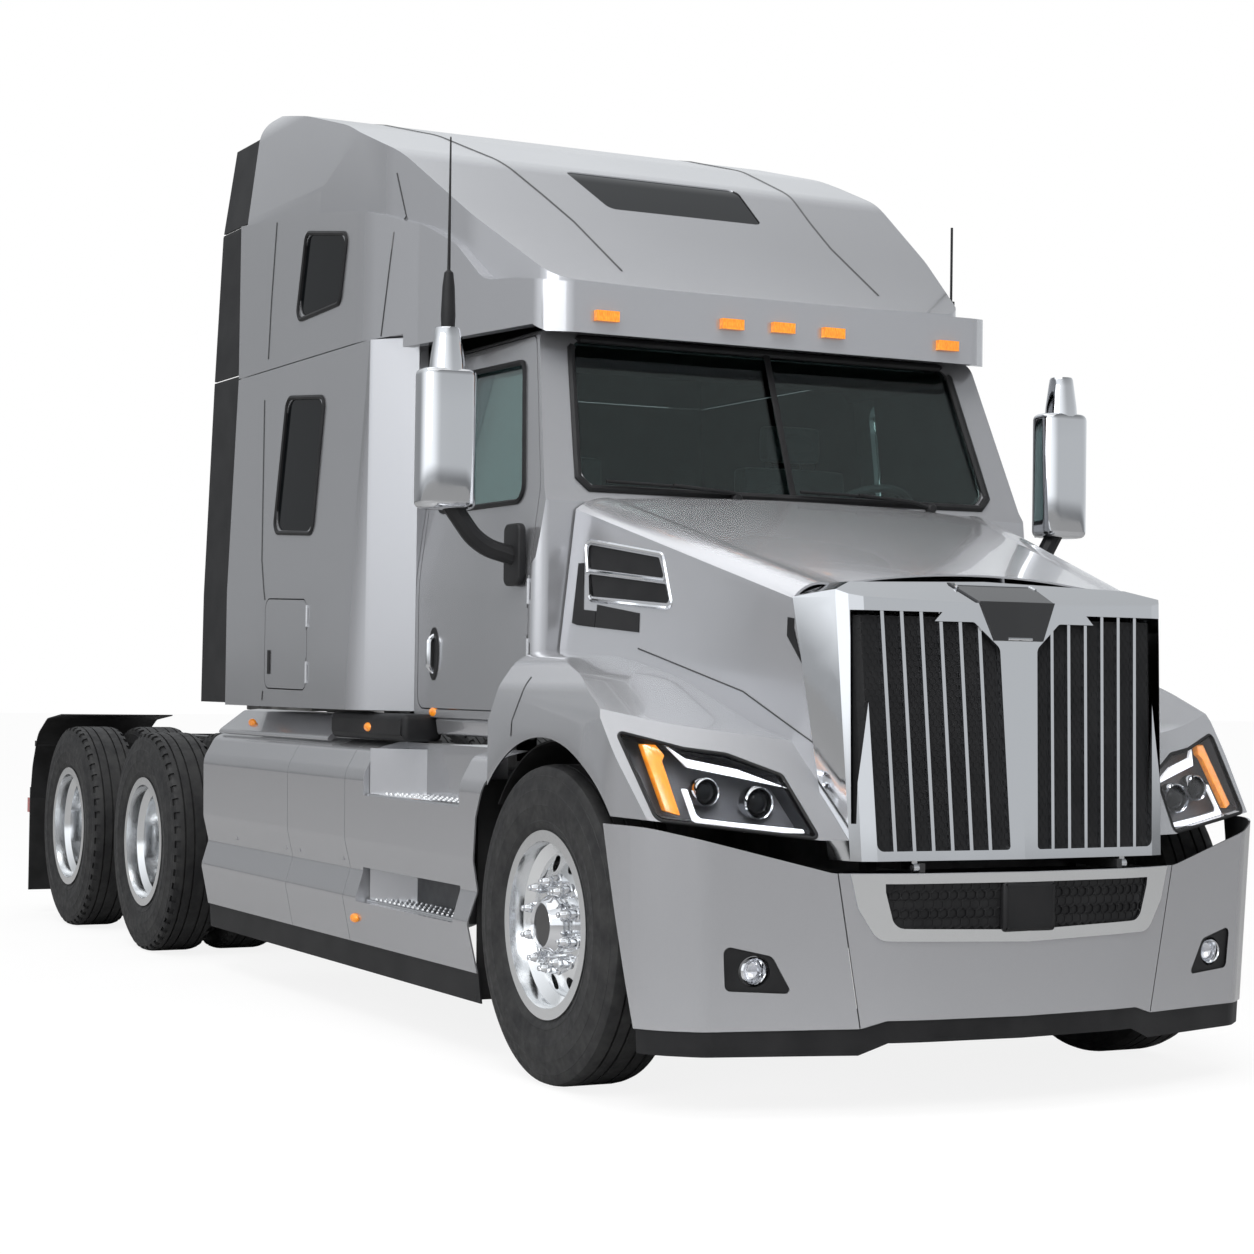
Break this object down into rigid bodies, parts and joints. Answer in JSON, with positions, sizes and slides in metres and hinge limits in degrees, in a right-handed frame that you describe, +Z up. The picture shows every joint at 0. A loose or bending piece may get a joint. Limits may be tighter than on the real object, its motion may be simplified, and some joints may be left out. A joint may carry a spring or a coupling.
{
  "type": "semi truck tractor unit",
  "caption": "Highway tractor with a tilting hood, raised-roof sleeper, side fairings, steered front wheels, twin drive wheels and a rocking fifth wheel for pulling trailers.",
  "frame": {"origin": "on the ground below the middle of the vehicle's length and width", "axes": "+Z up, -Y the way it drives, +X its left (driver's) side"},
  "size_m": [2.856, 7.7545, 3.8458],
  "materials": {
    "silver_paint": "metallic gloss",
    "chassis_paint": "semi-gloss black",
    "polished_aluminium": "polished",
    "tank_aluminium": "satin",
    "chrome_trim": "polished",
    "tyre_rubber": "matte",
    "flap_rubber": "matte",
    "cast_parts": "rough",
    "black_plastic": "fine grain",
    "gloss_black": "gloss",
    "interior_plastic": "soft touch",
    "seat_fabric": "woven",
    "tinted_glass": "tinted",
    "clear_lens": "clear",
    "amber_lens": "clear amber",
    "red_lens": "clear red"
  },
  "bodies": {
    "chassis": {"frame_rails": "chassis_paint", "front_axle": "chassis_paint", "drive_axles": "chassis_paint", "engine_block": "cast_parts", "radiator": "tank_aluminium", "fuel_tanks": "tank_aluminium", "chassis_boxes": "chassis_paint", "deck_plate": "tank_aluminium", "fifth_wheel_base": "cast_parts", "rear_guards": "flap_rubber", "tail_lamps": "red_lens", "cab_shell": "silver_paint", "windshield": "tinted_glass", "sleeper_shell": "silver_paint", "roof_cap": "silver_paint", "sleeper_glass": "tinted_glass", "marker_lamps": "amber_lens", "bumper": "silver_paint", "bumper_trim": "chrome_trim", "bumper_valance": "black_plastic", "lower_grille": "black_plastic", "fog_lamps": "clear_lens", "side_fairings": "silver_paint", "side_skirts": "black_plastic", "cab_extenders": "black_plastic", "roof_antenna": "black_plastic", "dash": "interior_plastic", "seats": "seat_fabric", "bunk": "seat_fabric"},
    "drive_wheels_1_left": {"drive_tyres_1_left": "tyre_rubber", "drive_rims_1_left": "polished_aluminium"},
    "drive_wheels_1_right": {"drive_tyres_1_right": "tyre_rubber", "drive_rims_1_right": "polished_aluminium"},
    "drive_wheels_2_left": {"drive_tyres_2_left": "tyre_rubber", "drive_rims_2_left": "polished_aluminium"},
    "drive_wheels_2_right": {"drive_tyres_2_right": "tyre_rubber", "drive_rims_2_right": "polished_aluminium"},
    "front_wheel_left": {"front_tyre_left": "tyre_rubber", "front_rim_left": "polished_aluminium"},
    "steering_knuckle_left": {"knuckle_left": "chassis_paint"},
    "cab_door_left": {"door_left": "silver_paint", "door_glass_left": "tinted_glass", "mirror_left": "chrome_trim"},
    "locker_left": {"locker_door_left": "silver_paint"},
    "front_wheel_right": {"front_tyre_right": "tyre_rubber", "front_rim_right": "polished_aluminium"},
    "steering_knuckle_right": {"knuckle_right": "chassis_paint"},
    "cab_door_right": {"door_right": "silver_paint", "door_glass_right": "tinted_glass", "mirror_right": "chrome_trim"},
    "locker_right": {"locker_door_right": "silver_paint"},
    "hood_body": {"hood": "silver_paint", "headlamp_lenses": "clear_lens", "headlamp_housings": "gloss_black", "grille_surround": "chrome_trim", "grille_mesh": "black_plastic", "badge_plate": "gloss_black"},
    "fifth_wheel": {"fifth_wheel_plate": "cast_parts"},
    "steering": {"steering_wheel": "interior_plastic"}
  },
  "joints": [
    {"name": "steer_left", "type": "hinge", "parent": "chassis", "child": "steering_knuckle_left", "pos_m": [0.925, -2.8575, 0.527], "axis": [0, 0, 1], "range_deg": [-35, 35]},
    {"name": "front_wheel_left_spin", "type": "hinge", "parent": "steering_knuckle_left", "child": "front_wheel_left", "pos_m": [1.085, -2.8575, 0.527], "axis": [1, 0, 0], "continuous": true},
    {"name": "door_left_open", "type": "hinge", "parent": "chassis", "child": "cab_door_left", "pos_m": [1.05, -2.3575, 1.9], "axis": [0, 0, -1], "range_deg": [0, 70]},
    {"name": "locker_left_open", "type": "hinge", "parent": "chassis", "child": "locker_left", "pos_m": [1.22, -0.5875, 1.47], "axis": [0, 0, -1], "range_deg": [0, 90]},
    {"name": "drive_wheels_1_left_spin", "type": "hinge", "parent": "chassis", "child": "drive_wheels_1_left", "pos_m": [0.935, 1.6375, 0.527], "axis": [1, 0, 0], "continuous": true},
    {"name": "drive_wheels_2_left_spin", "type": "hinge", "parent": "chassis", "child": "drive_wheels_2_left", "pos_m": [0.935, 3.0075, 0.527], "axis": [1, 0, 0], "continuous": true},
    {"name": "steer_right", "type": "hinge", "parent": "chassis", "child": "steering_knuckle_right", "pos_m": [-0.925, -2.8575, 0.527], "axis": [0, 0, 1], "range_deg": [-35, 35]},
    {"name": "front_wheel_right_spin", "type": "hinge", "parent": "steering_knuckle_right", "child": "front_wheel_right", "pos_m": [-1.085, -2.8575, 0.527], "axis": [1, 0, 0], "continuous": true},
    {"name": "door_right_open", "type": "hinge", "parent": "chassis", "child": "cab_door_right", "pos_m": [-1.05, -2.3575, 1.9], "axis": [0, 0, 1], "range_deg": [0, 70]},
    {"name": "locker_right_open", "type": "hinge", "parent": "chassis", "child": "locker_right", "pos_m": [-1.22, -0.5875, 1.47], "axis": [0, 0, 1], "range_deg": [0, 90]},
    {"name": "drive_wheels_1_right_spin", "type": "hinge", "parent": "chassis", "child": "drive_wheels_1_right", "pos_m": [-0.935, 1.6375, 0.527], "axis": [1, 0, 0], "continuous": true},
    {"name": "drive_wheels_2_right_spin", "type": "hinge", "parent": "chassis", "child": "drive_wheels_2_right", "pos_m": [-0.935, 3.0075, 0.527], "axis": [1, 0, 0], "continuous": true},
    {"name": "hood_tilt", "type": "hinge", "parent": "chassis", "child": "hood_body", "pos_m": [0, -3.8175, 0.764], "axis": [1, 0, 0], "range_deg": [0, 75]},
    {"name": "fifth_wheel_rock", "type": "hinge", "parent": "chassis", "child": "fifth_wheel", "pos_m": [0, 2.2025, 1.105], "axis": [1, 0, 0], "range_deg": [-12, 12]},
    {"name": "steering_wheel_turn", "type": "hinge", "parent": "chassis", "child": "steering", "pos_m": [0.56, -1.9725, 1.96], "axis": [0, 0.6222, 0.7828], "range_deg": [-540, 540]}
  ],
  "couplings": [
    {"joint": "steer_right", "follows": "steer_left", "ratio": 1},
    {"joint": "steering_wheel_turn", "follows": "steer_left", "ratio": 15}
  ]
}
